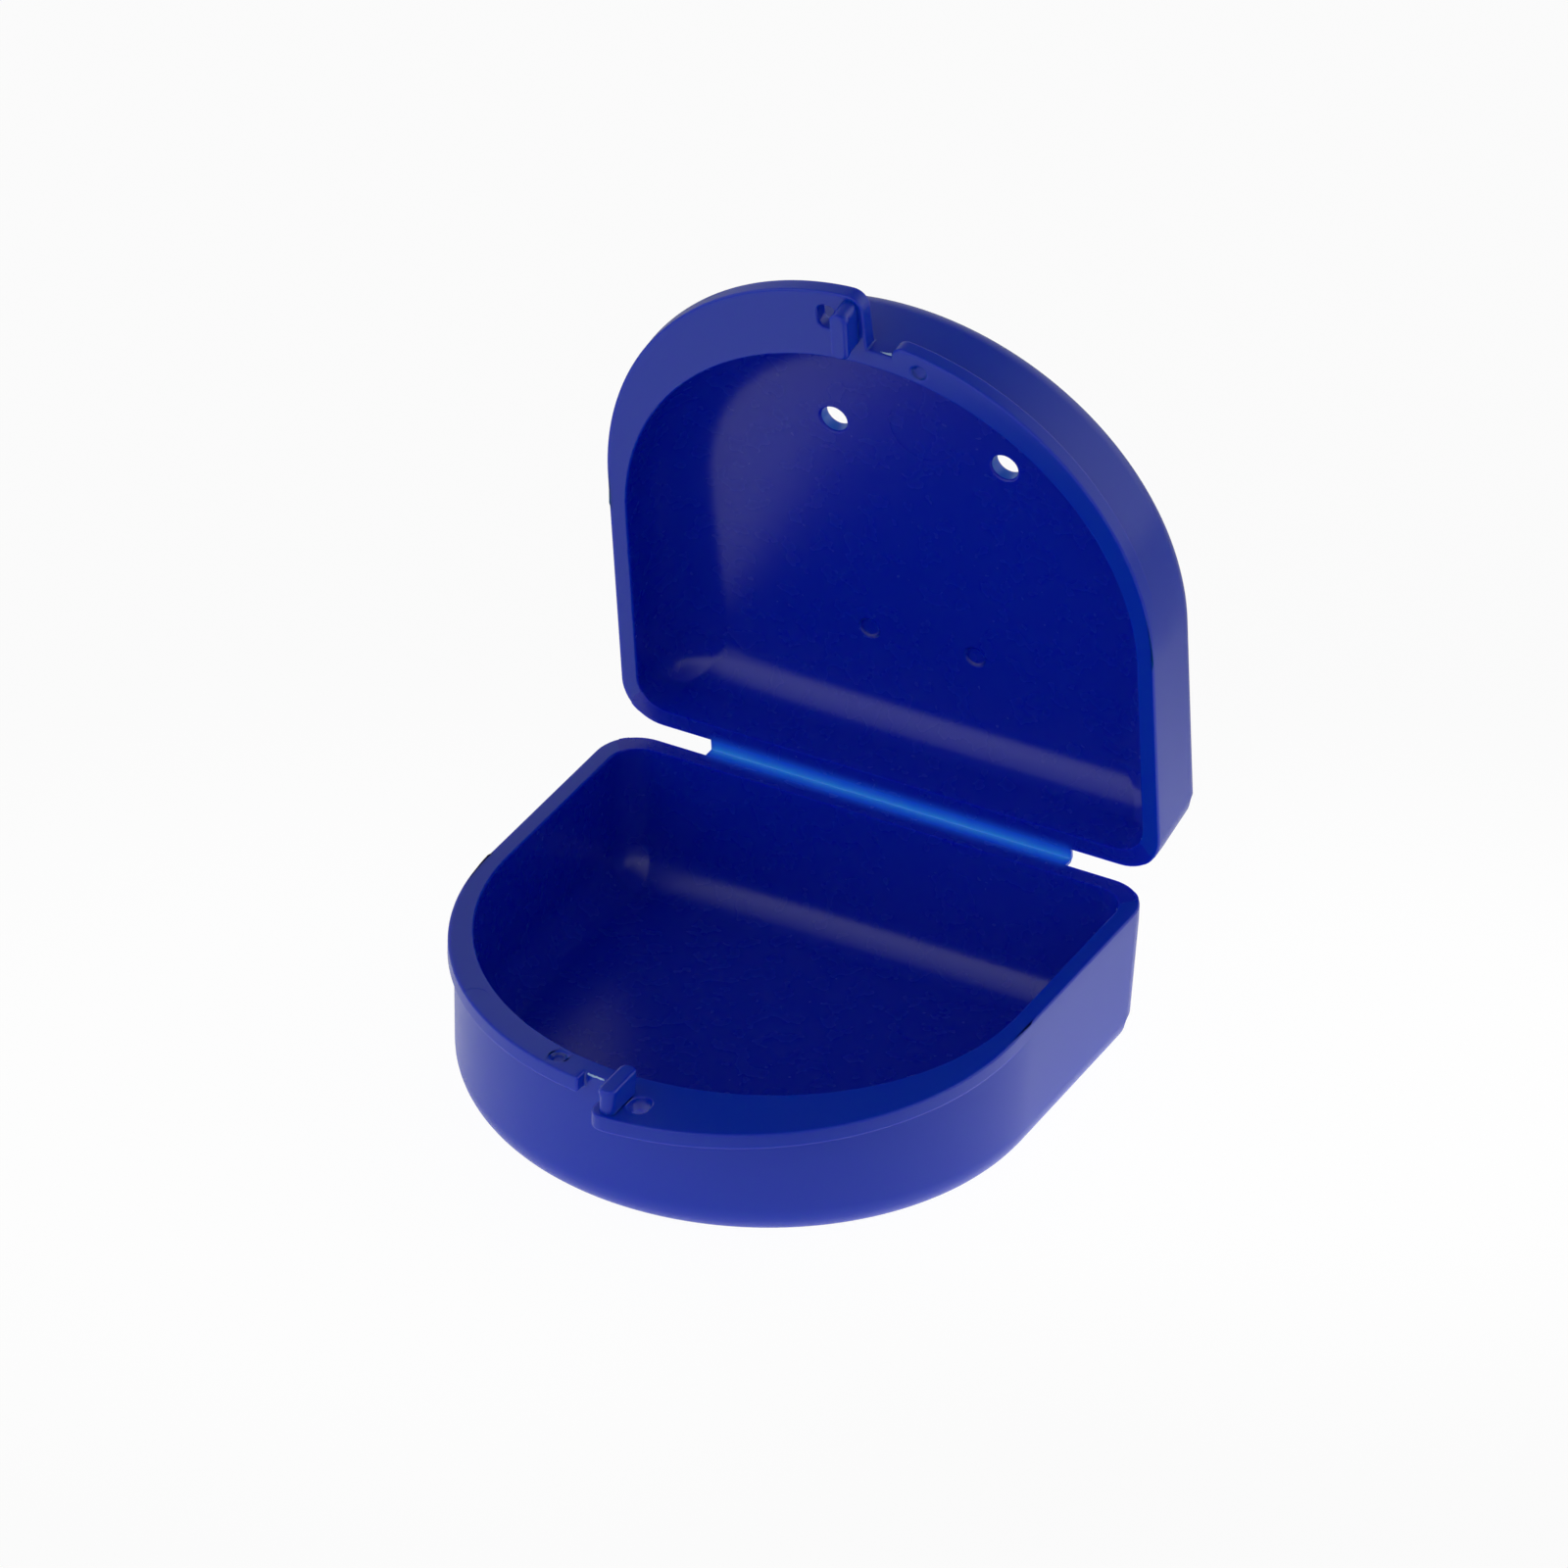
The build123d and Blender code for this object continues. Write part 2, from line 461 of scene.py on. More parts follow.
@dataclass(frozen=True)
class Polypropylene:
    """Injection-moulded polypropylene: glossy, dyed in the mass, with light scattering a way in.

    Polished steel gives its skin a low gloss, and the melt leaves the faintest waviness in it. By
    the fold of the hinge it thins out, and its colour is painted a purer blue and then pale:
    painted glow, standing in for light that shines through the thin web.
    """

    name: str
    body: str
    glow: str
    scatter_mm: float
    scatter: float = 1.0
    painted_pale_glow: str = "#40a8ff"
    painted_flush: str = "#0048ff"
    painted_flush_end: float = 0.25
    root_end: float = 0.03
    thin_start: float = 0.1
    thin_end: float = 0.4
    roughness: float = 0.24
    roughness_spread: float = 0.03
    index: float = 1.49
    ripple_mm: float = 2.5
    ripple_height_mm: float = 0.003
    ripple_detail: float = 2.0
    ripple_contrast: float = 0.4
    fold_near: float = 0.15
    fold_far: float = 3.0
    fold_falloff: float = 2.8
    fold_end: float = 0.8

    def near_fold(self, tree: bpy.types.NodeTree,
                  place: bpy.types.NodeSocket) -> bpy.types.NodeSocket:
        """Works out how close a place lies to the fold, where the melt thins out.

        Args:
            tree: The node tree.
            place: The output socket that gives the place.

        Returns:
            The output socket with one at the fold and nothing away from it.
        """
        offset = offset_from(tree, place, HINGE)
        across = add_node(tree, "ShaderNodeVectorMath", {"operation": "MULTIPLY"}, {1: (0, 1, 1)},
                          {0: offset})
        depth = ramp(tree, length_of(tree, across.outputs["Vector"]), self.fold_near * MM,
                     self.fold_far * MM, 1.0, 0.0)
        fade = calculate(tree, "POWER", depth, self.fold_falloff)
        parts = add_node(tree, "ShaderNodeSeparateXYZ", None, None, {0: offset})
        along = calculate(tree, "ABSOLUTE", parts.outputs["X"])
        end = WEB_LENGTH / 2
        ends = ramp(tree, along, (end - self.fold_end) * MM, (end + self.fold_end) * MM, 1.0, 0.0,
                    smooth=True)
        return calculate(tree, "MULTIPLY", fade, ends)

    def build(self) -> bpy.types.Material:
        """Builds the material.

        Returns:
            The material.
        """
        material = new_material(self.name)
        tree = material.node_tree
        place = add_node(tree, "ShaderNodeTexCoord").outputs["Object"]
        ripple = add_node(tree, "ShaderNodeTexNoise", {"noise_dimensions": "3D"},
                          {"Scale": 1 / (self.ripple_mm * MM), "Detail": self.ripple_detail,
                           "Roughness": self.ripple_contrast}, {"Vector": place})
        bump = add_node(tree, "ShaderNodeBump", None,
                        {"Strength": 1.0, "Distance": self.ripple_height_mm * MM},
                        {"Height": ripple.outputs["Fac"]})
        roughness = ramp(tree, ripple.outputs["Fac"], 0.0, 1.0,
                         self.roughness - self.roughness_spread,
                         self.roughness + self.roughness_spread)
        near = self.near_fold(tree, place)
        painted_flush_rise = ramp(tree, near, 0.0, self.painted_flush_end, 0.0, 1.0)
        # Light scatters inside the walls, not at the roots of the web, and again where it folds.
        solid = ramp(tree, near, 0.0, self.root_end, self.scatter, 0.0)
        thin = ramp(tree, near, self.thin_start, self.thin_end, 0.0, self.scatter)
        scatter = calculate(tree, "MAXIMUM", solid, thin)
        # Painted glow: towards the fold the body colour turns a purer blue and then pale, standing
        # in for light that shines through the thin web.
        painted_flush = add_node(tree, "ShaderNodeMixRGB", None,
                         {"Color1": linear(self.body), "Color2": linear(self.painted_flush)}, {"Fac": painted_flush_rise})
        dye_and_painted_glow = add_node(tree, "ShaderNodeMixRGB", None, {"Color2": linear(self.painted_pale_glow)},
                       {"Fac": near, "Color1": painted_flush.outputs["Color"]})
        shader = add_node(tree, "ShaderNodeBsdfPrincipled", {"subsurface_method": "RANDOM_WALK"},
                          {"IOR": self.index, "Subsurface Scale": self.scatter_mm * MM,
                           "Subsurface Radius": linear(self.glow)[:3]},
                          {"Base Color": dye_and_painted_glow.outputs["Color"], "Roughness": roughness,
                           "Normal": bump.outputs["Normal"], "Subsurface Weight": scatter})
        add_node(tree, "ShaderNodeOutputMaterial", None, None, {"Surface": shader.outputs["BSDF"]})
        return material


@dataclass(frozen=True)
class LightPool:
    """A round pool of light on the paper, placed and sized in millimetres."""

    middle: Place
    even_radius: float
    end_radius: float
    light: float

    def build(self, tree: bpy.types.NodeTree, place: bpy.types.NodeSocket) -> bpy.types.NodeSocket:
        """Adds the pool to a material.

        Args:
            tree: The material's node tree.
            place: The output socket that gives the place.

        Returns:
            The output socket with the pool's strength at each place.
        """
        distance = length_of(tree, offset_from(tree, place, self.middle))
        return ramp(tree, distance, self.even_radius * MM, self.end_radius * MM, self.light, 0.0,
                    smooth=True)


@dataclass(frozen=True)
class StudioPaper:
    """Matt white paper, lit more brightly to the left of the case and behind it on its right."""

    name: str = "matt_white_paper"
    colour: str = "#f4f4f4"
    roughness: float = 0.9
    sheen: float = 0.2
    evenness: float = 0.94
    pools: tuple[LightPool, LightPool] = (LightPool((-35.0, -25.0, 0.0), 35.0, 115.0, 0.36),
                                          LightPool((62.0, 42.0, 0.0), 25.0, 100.0, 0.5))

    def build(self) -> bpy.types.Material:
        """Builds the material.

        Returns:
            The material.
        """
        material = new_material(self.name)
        tree = material.node_tree
        place = add_node(tree, "ShaderNodeTexCoord").outputs["Object"]
        glow = calculate(tree, "ADD", *(pool.build(tree, place) for pool in self.pools))
        paper = add_node(tree, "ShaderNodeBsdfPrincipled", None,
                         {"Base Color": linear(self.colour), "Roughness": self.roughness,
                          "Specular IOR Level": self.sheen, "Emission Color": WHITE},
                         {"Emission Strength": glow})
        white = add_node(tree, "ShaderNodeEmission", None, {"Strength": 1.0})
        path = add_node(tree, "ShaderNodeLightPath")
        seen = calculate(tree, "MULTIPLY", path.outputs["Is Camera Ray"], self.evenness)
        surface = add_node(tree, "ShaderNodeMixShader", None, None,
                           {0: seen, 1: paper.outputs["BSDF"], 2: white.outputs["Emission"]})
        add_node(tree, "ShaderNodeOutputMaterial", None, None,
                 {"Surface": surface.outputs["Shader"]})
        return material


@dataclass(frozen=True)
class Prong:
    """The snap prong that stands on a tray's wide rim, with a catch along its inner side."""

    width: float = 2.15
    length: float = 6.6
    height: float = 3.3
    root: float = 0.9
    place: Spot = (-2.125, -75.1)
    end_radius: float = 0.95
    catch_reach: float = 0.25
    catch_height: float = 0.7
    catch_slope: float = 1.6
    soft_edge: float = 0.35
    soft_steps: int = 4

    def build(self) -> bpy.types.Object:
        """Models the prong in its tray's frame, standing towards -Z, its catch leaning out to +X.

        Returns:
            The prong.
        """
        x, y = self.place
        post = rounded_block((self.width, self.length, self.height + self.root),
                             (x, y, (self.root - self.height) / 2), self.end_radius)
        with editing(post):
            for level in (self.catch_slope * self.catch_height, self.catch_height):
                bpy.ops.mesh.select_all(action="SELECT")
                bpy.ops.mesh.bisect(plane_co=(x, y, level - self.height), plane_no=(0, 0, 1))
            lip = self.catch_height - self.height
            pick(post, Part.VERTEX, lambda co: abs(co.z - lip) < NEAR)
            bpy.ops.transform.resize(value=(1 + self.catch_reach / self.width, 1, 1),
                                     center_override=(x - self.width / 2, y, lip))
            pick(post, Part.EDGE, lambda co: co.z < NEAR - self.height)
            round_picked(self.soft_edge, self.soft_steps)
        return post


@dataclass(kw_only=True)
class Tray(ABC):
    """One half of the case: a D-shaped tray with a wide rim, a narrow rim and a snap prong.

    It is modelled in millimetres in its own frame, with the origin on the hinge line, -Y to the
    front, +Z into the depth of the tray and the wide rim on the -X side, and is then put in place.
    """

    name: str
    body: str
    depth: float
    edge_radius: float
    finish: bpy.types.Material
    core_and_painted_shade_finish: bpy.types.Material
    vent_painted_glow_finish: bpy.types.Material
    prong: Prong = Prong()
    floor: float = 2.0
    half_width: float = 37.3
    side_length: float = 32.8
    setback: float = SETBACK
    corner_radius: float = 5.6
    wall: float = 2.4
    inner_corner: float = 3.9
    inner_edge: float = 4.8
    inner_side_edge: float = 4.8
    edge_steps: int = 12
    draft: float = 1.4
    rim: float = 2.14
    wide_reach: float = 7.6
    wide_shift: float = 5.2
    wide_end_radius: float = 2.0
    wide_lean: float = 0.0
    narrow_reach: float = 1.9
    narrow_shift: float = 1.3
    narrow_end_radius: float = 0.4
    notch: float = 4.332
    soft_edge: float = 0.3
    soft_steps: int = 3
    soft_fade: float = 3.5
    sharp_angle: float = 40.0
    flat_angle: float = 2.0
    hole_size: Spot = (2.6, 3.5)
    hole_place: Spot = (-4.7, -74.5)
    hole_corner: float = 1.2
    dimple_place: Spot = (8.5, -70.06)
    dimple_radius: float = 1.2
    dimple_depth: float = 0.5
    dimple_narrowing: float = 0.3
    core_and_shade_end: float = 0.8
    core_and_shade_edge: float = 0.2
    arc_steps: int = 108

    @property
    def arc_y(self) -> float:
        """Y of the centre of the front arc."""
        return -self.setback - self.side_length

    def wall_y(self, x: float) -> float:
        """Y of the front of the wall at a given X."""
        return self.arc_y - math.sqrt(max(0.0, self.half_width**2 - x**2))

    def rim_curve(self, side: Side) -> tuple[float, float]:
        """Gives a rim's curve by its reach past the wall and its shift ahead of the wall's arc."""
        return ((self.wide_reach, self.wide_shift) if side is Side.WIDE
                else (self.narrow_reach, self.narrow_shift))

    def rim_step(self, side: Side, co: Vector) -> float:
        """Works out how far a rim stands out past the wall.

        Args:
            side: Which rim.
            co: A place on the rim or below it.

        Returns:
            The step, measured away from the centre of the front arc.
        """
        reach, shift = self.rim_curve(side)
        across, along = abs(co.x), max(0.0, self.arc_y - co.y)
        size = math.hypot(across, along)
        across, along = across / size, along / size
        length = self.half_width + reach - shift
        # A line from the arc's centre meets the rim's ellipse where a d**2 + b d + c is nothing.
        a = (across / self.half_width) ** 2 + (along / length) ** 2
        b = -2 * along * shift / length**2
        c = (shift / length) ** 2 - 1
        distance = (-b + math.sqrt(b * b - 4 * a * c)) / (2 * a)
        if distance * along < shift:
            distance = self.half_width / across
        return distance - self.half_width

    def outline(self, inset: float) -> bpy.types.Object:
        """Draws the closed D-shaped outline of the tray at the seam, its rear corners still sharp.

        Args:
            inset: How far inside the outer wall line it runs.

        Returns:
            A piece of one flat face that looks into the depth of the tray.
        """
        bpy.ops.mesh.primitive_circle_add(vertices=2 * self.arc_steps,
                                          radius=self.half_width - inset,
                                          location=(0, self.arc_y, 0))
        loop = bpy.context.object
        settle(loop)
        with editing(loop):
            pick(loop, Part.VERTEX, lambda co: co.y > self.arc_y + NEAR)
            bpy.ops.mesh.delete(type="VERT")
            pick(loop, Part.VERTEX, lambda co: co.y > self.arc_y - NEAR)
            bpy.ops.mesh.extrude_vertices_move(
                TRANSFORM_OT_translate={"value": (0, self.side_length - inset, 0)})
            bpy.ops.mesh.edge_face_add()
            bpy.ops.mesh.select_all(action="SELECT")
            bpy.ops.mesh.edge_face_add()
            pick(loop, Part.FACE, lambda co: True, lambda normal: normal.z < 0)
            bpy.ops.mesh.flip_normals()
        return loop

    def skin(self, inset: float, corner: float, band: float, depth: float, edge: float,
             side_edge: float) -> bpy.types.Object:
        """Models one drafted skin of the tray, open at the seam, with a rounded edge at its bottom.

        Args:
            inset: How far inside the outer wall line it starts.
            corner: Radius of its rear corners at the seam.
            band: Height of the upright band at the seam, or nothing.
            depth: Z of its bottom.
            edge: Radius of the rear edge at the bottom.
            side_edge: Radius of the rest of the edge at the bottom.

        Returns:
            The skin.
        """
        skin = self.outline(inset)
        lean = depth * math.tan(math.radians(self.draft))
        widest = max(corner, edge, side_edge)
        rear = -self.setback - inset - lean - SPARE
        with editing(skin):
            pick(skin, Part.FACE, lambda co: True)
            if band:
                bpy.ops.mesh.inset(thickness=0, depth=band)
            bpy.ops.mesh.inset(thickness=lean, depth=depth - band)
            mesh = bmesh.from_edit_mesh(skin.data)
            weights = mesh.edges.layers.float.new(BEVEL_WEIGHT)
            for line in mesh.edges:
                first, second = (vertex.co for vertex in line.verts)
                if min(first.z, second.z) > depth - NEAR:
                    radius = edge if min(first.y, second.y) > rear else side_edge
                    line[weights] = radius / widest
                elif min(first.y, second.y) > rear and abs(first.z - second.z) > NEAR:
                    line[weights] = corner / widest
            bmesh.update_edit_mesh(skin.data)
        apply_modifier(skin, "BEVEL", {"width": widest, "segments": self.edge_steps,
                                       "limit_method": "WEIGHT", "use_clamp_overlap": False})
        return skin

    def add_rim(self, tray: bpy.types.Object, side: Side, end: float, end_radius: float,
                lean: float = 0.0) -> None:
        """Draws a rim out of the top band of the wall, and rounds the corner beside the latch.

        Args:
            tray: The tray.
            side: Which rim.
            end: Distance of its end from the middle of the latch.
            end_radius: Radius of the corner at its end.
            lean: How far the end leans back from the latch on its way out.
        """
        reach, shift = self.rim_curve(side)
        sign = side.value

        def on_rim(co: Vector) -> bool:
            """Tells whether a place is on the rim, from the wall's line outwards."""
            return co.z < self.rim + NEAR and co.y < self.wall_y(co.x) + NEAR

        def at_tip(co: Vector, column: float) -> bool:
            """Tells whether a place is at a given X in the outer half of the rim."""
            return (on_rim(co) and abs(sign * co.x - column) < LOOSE
                    and co.y < self.wall_y(co.x) - reach / 2)

        with editing(tray):
            pick(tray, Part.FACE,
                 lambda co: (co.z < self.rim + NEAR and sign * co.x > end - LOOSE
                             and co.y < self.arc_y + NEAR),
                 lambda normal: abs(normal.z) < UPRIGHT)
            bpy.ops.mesh.extrude_region_move(TRANSFORM_OT_translate={"value": (0, 0, 0)})
            stretch = (self.half_width + reach - shift) / self.half_width
            bpy.ops.transform.resize(value=(1, stretch, 1), center_override=(0, self.arc_y, 0))
            bpy.ops.transform.translate(value=(0, -shift, 0))
            # The columns that would lie inside the rounded corner are taken out.
            for step in range(self.arc_steps // 2):
                column = self.half_width * math.sin(math.pi * step / self.arc_steps)
                if end + LOOSE < column < end + end_radius + lean + NEAR:
                    pick(tray, Part.EDGE,
                         lambda co: on_rim(co) and abs(sign * co.x - column) < LOOSE)
                    bpy.ops.mesh.dissolve_edges(use_verts=True)
            if lean:
                pick(tray, Part.VERTEX, lambda co: at_tip(co, end))
                bpy.ops.transform.translate(value=(sign * lean, 0, 0))
            pick(tray, Part.EDGE, lambda co: at_tip(co, end + lean))
            round_picked(end_radius, ROUND_STEPS)

    def cutters(self) -> list[bpy.types.Object]:
        """Makes the shapes that are cut out of every tray: the rim hole and the seam's dimple."""
        hole = rounded_block((*self.hole_size, 2 * (self.rim + SPARE)),
                             (*self.hole_place, self.rim / 2), self.hole_corner)
        dimple = round_pin(self.dimple_radius, self.dimple_place, -SPARE, self.dimple_depth,
                           self.dimple_narrowing)
        return [hole, dimple]

    @abstractmethod
    def marks(self) -> list[bpy.types.Object]:
        """Makes the shallow shapes that are cut out after the edges are softened."""

    def soften(self, tray: bpy.types.Object) -> None:
        """Rounds every sharp edge a little, and less where a rim fades into the wall.

        Args:
            tray: The tray.
        """
        with editing(tray):
            mesh = bmesh.from_edit_mesh(tray.data)
            weights = mesh.edges.layers.float.get(BEVEL_WEIGHT)
            for edge in mesh.edges:
                edge[weights] = 0.0
                sharp = math.radians(self.sharp_angle)
                if not edge.is_manifold or edge.calc_face_angle() < sharp:
                    continue
                middle = (edge.verts[0].co + edge.verts[1].co) / 2
                if abs(middle.z) < NEAR and not edge.is_convex:
                    continue
                inner = (abs(middle.x) < self.half_width - self.wall / 2
                         and middle.y < -self.setback - self.wall / 2)
                ahead = -self.setback - (self.wall if inner else 0.0) - middle.y
                weight = min(1.0, max(0.0, ahead / self.inner_corner))
                if abs(middle.z - self.rim) < 2 * LOOSE and middle.y < self.arc_y + NEAR:
                    side = Side.WIDE if middle.x < 0 else Side.NARROW
                    fade = self.soft_fade * self.soft_edge
                    weight = min(1.0, self.rim_step(side, middle) / fade)
                edge[weights] = weight
            bmesh.update_edit_mesh(tray.data)
        apply_modifier(tray, "BEVEL", {"width": self.soft_edge, "segments": self.soft_steps,
                                       "limit_method": "WEIGHT", "use_clamp_overlap": False,
                                       "loop_slide": False})
        with editing(tray):
            for level in (self.depth, self.depth - self.floor):
                pick(tray, Part.FACE, lambda co: abs(co.z - level) < NEAR)
                bpy.ops.mesh.dissolve_limited(angle_limit=math.radians(self.flat_angle))

    def in_hollow(self, co: Vector) -> bool:
        """Tells whether a place of the tray's surface lies in its hollow.

        Args:
            co: The place, in the tray's frame.

        Returns:
            Whether it does.
        """
        edge = self.half_width - self.wall + LOOSE
        if not -NEAR < co.z < self.depth - self.floor + self.core_and_shade_end:
            return False
        if co.y < self.arc_y:
            return math.hypot(co.x, co.y - self.arc_y) < edge
        return abs(co.x) < edge and co.y < -self.setback - self.wall + LOOSE

    def by_core_and_painted_shade(self, co: Vector) -> bool:
        """Tells whether a place of the tray's surface has the finish of the mould's core: a duller
        gloss, and a deeper colour that is painted shade.

        Args:
            co: The place, in the tray's frame.

        Returns:
            Whether it does: in the hollow, and on top of the rear wall beside the web.
        """
        rear = -self.setback - self.wall - self.core_and_shade_edge
        return self.in_hollow(co) or (co.z < self.soft_edge and co.y > rear)

    def in_vent(self, co: Vector) -> bool:
        """Tells whether a place of the tray's surface lies in a vent, which only a lid has.

        Args:
            co: The place, in the tray's frame.

        Returns:
            Whether it does.
        """
        return False

    def paint(self, tray: bpy.types.Object) -> None:
        """Gives the tray its polished outside, its duller hollow with painted shade in its colour,
        and the painted glow of its vents.

        Args:
            tray: The tray.
        """
        tray.data.materials.clear()
        for finish in (self.finish, self.core_and_painted_shade_finish, self.vent_painted_glow_finish):
            tray.data.materials.append(finish)
        with editing(tray):
            # Painted shade: the hollow and the top of the rear wall take the deeper colour of the
            # core finish. Painted glow: the vent walls take a much lighter blue.
            for slot, test in ((1, self.by_core_and_painted_shade), (2, self.in_vent)):
                pick(tray, Part.FACE, test)
                tray.active_material_index = slot
                bpy.ops.object.material_slot_assign()

    @abstractmethod
    def matrix(self) -> Matrix:
        """Gives the move from the tray's own frame to its place in the whole, in millimetres."""

    def build(self) -> bpy.types.Object:
        """Models the tray and puts it in its place.

        Returns:
            The tray.
        """
        tray = self.skin(0.0, self.corner_radius, self.rim, self.depth, self.edge_radius,
                         self.edge_radius)
        hollow = self.skin(self.wall, self.inner_corner, 0.0, self.depth - self.floor,
                           self.inner_edge, self.inner_side_edge)
        with editing(hollow):
            bpy.ops.mesh.select_all(action="SELECT")
            bpy.ops.mesh.flip_normals()
        activate(tray)
        hollow.select_set(True)
        bpy.ops.object.join()
        with editing(tray):
            pick(tray, Part.EDGE, lambda co: abs(co.z) < NEAR)
            bpy.ops.mesh.bridge_edge_loops()
        face_outwards(tray)
        self.add_rim(tray, Side.WIDE, 0.0, self.wide_end_radius, self.wide_lean)
        self.add_rim(tray, Side.NARROW, self.notch, self.narrow_end_radius)
        face_outwards(tray)
        combine(tray, self.prong.build(), Cut.JOIN)
        for cutter in self.cutters():
            combine(tray, cutter, Cut.REMOVE)
        self.soften(tray)
        for mark in self.marks():
            engrave(tray, mark)
        self.paint(tray)
        put_in_place(tray, self.name, self.matrix())
        bpy.ops.object.shade_smooth_by_angle(angle=SMOOTH_ANGLE)
        apply_modifier(tray, "WEIGHTED_NORMAL", {"keep_sharp": True, "weight": NORMAL_WEIGHT})
        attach(tray, self.body)
        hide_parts(f"{self.body}_shell", f"{self.body}_rim_wide", f"{self.body}_rim_narrow",
                    f"{self.body}_prong")
        return tray


@dataclass(kw_only=True)
class BaseTray(Tray):
    """The deep tray that the case stands on."""

    name: str = "base_tray"
    body: str = "base"
    depth: float = 20.2
    edge_radius: float = 4.8
    ejector_radius: float = 1.5
    ejector_place: Spot = (23.5, -63.4)
    ejector_depth: float = 0.03

    def marks(self) -> list[bpy.types.Object]:
        """Makes the faint round mark that an ejector pin left in the rim."""
        return [round_pin(self.ejector_radius, self.ejector_place, -SPARE, self.ejector_depth)]

    def matrix(self) -> Matrix:
        """Turns the tray mouth up, with its bottom on the table."""
        turn = Matrix.Rotation(math.pi, 4, "Y")
        return Matrix.Translation((0, HINGE[1], self.depth)) @ turn


@dataclass(kw_only=True)
class LidTray(Tray):
    """The shallow tray that swings up as the lid, with two vents through its roof."""

    name: str = "lid_tray"
    body: str = "lid"
    depth: float = 12.2
    edge_radius: float = 3.2
    inner_side_edge: float = 7.4
    wide_lean: float = 0.45
    notch: float = 3.252
    narrow_end_radius: float = 1.7
    hole_place: Spot = (-5.25, -74.85)
    dimple_place: Spot = (6.9, -70.25)
    vent_radius: float = 1.8
    vent_places: tuple[Spot, ...] = ((-10.8, -49.8), (12.5, -50.0))
    roof_dimple_radius: float = 1.6
    roof_dimple_depth: float = 0.25
    roof_dimple_places: tuple[Spot, ...] = ((-7.3, -17.9), (7.3, -18.3))
    ejector_radius: float = 4.6
    ejector_place: Spot = (1.57, -52.3)
    ejector_depth: float = 0.06
    open_angle: float = OPEN_ANGLE
    half_gap: float = 0.1

    @property
    def roof(self) -> float:
        """Z of the inner face of the roof."""
        return self.depth - self.floor

    def cutters(self) -> list[bpy.types.Object]:
        """Adds the vents and the two blind dimples of the roof to the cut-out shapes."""
        vents = [round_pin(self.vent_radius, place, self.roof - 2 * SPARE, self.depth + SPARE)
                 for place in self.vent_places]
        dimples = [round_pin(self.roof_dimple_radius, place, self.roof - SPARE,
                             self.roof + self.roof_dimple_depth, self.dimple_narrowing)
                   for place in self.roof_dimple_places]
        return super().cutters() + vents + dimples

    def marks(self) -> list[bpy.types.Object]:
        """Makes the faint round mark that the ejector pin left in the roof."""
        return [round_pin(self.ejector_radius, self.ejector_place, self.roof - SPARE,
                          self.roof + self.ejector_depth)]

    def in_vent(self, co: Vector) -> bool:
        """Tells whether a place of the tray's surface lies in a vent.

        Args:
            co: The place, in the tray's frame.

        Returns:
            Whether it does.
        """
        return co.z > self.roof - NEAR and any(
            math.hypot(co.x - x, co.y - y) < self.vent_radius + NEAR for x, y in self.vent_places)

    def matrix(self) -> Matrix:
        """Stands the tray up on the hinge line, open by its angle."""
        turn = Matrix.Rotation(math.radians(-self.open_angle), 4, "X")
        return Matrix.Translation(HINGE) @ turn @ Matrix.Translation((0, 0, self.half_gap))


@dataclass(kw_only=True)
class GateScar:
    """The torn stub of a gate, through which the melt filled the mould, left in a tray's notch."""

    tray: Tray
    place: Place
    turn: float
    finish: bpy.types.Material
    seed: int
    size: Place = (2.3, 0.2, 0.2)
    cuts: int = 4
    roughness: float = 0.12

    def build(self) -> bpy.types.Object:
        """Models the scar in its tray's frame and puts it in its place.

        Returns:
            The scar.
        """
        bpy.ops.mesh.primitive_cube_add(size=1, location=self.place, scale=self.size,
                                        rotation=(0, 0, math.radians(self.turn)))
        scar = bpy.context.object
        settle(scar)
        with editing(scar):
            bpy.ops.mesh.select_all(action="SELECT")
            bpy.ops.mesh.subdivide(number_cuts=self.cuts)
            bpy.ops.transform.vertex_random(offset=self.roughness, uniform=0.0, normal=0.0,
                                            seed=self.seed)
        face_outwards(scar)
        put_in_place(scar, f"{self.tray.body}_gate_scar", self.tray.matrix())
        scar.data.materials.append(self.finish)
        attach(scar, self.tray.body)
        return scar


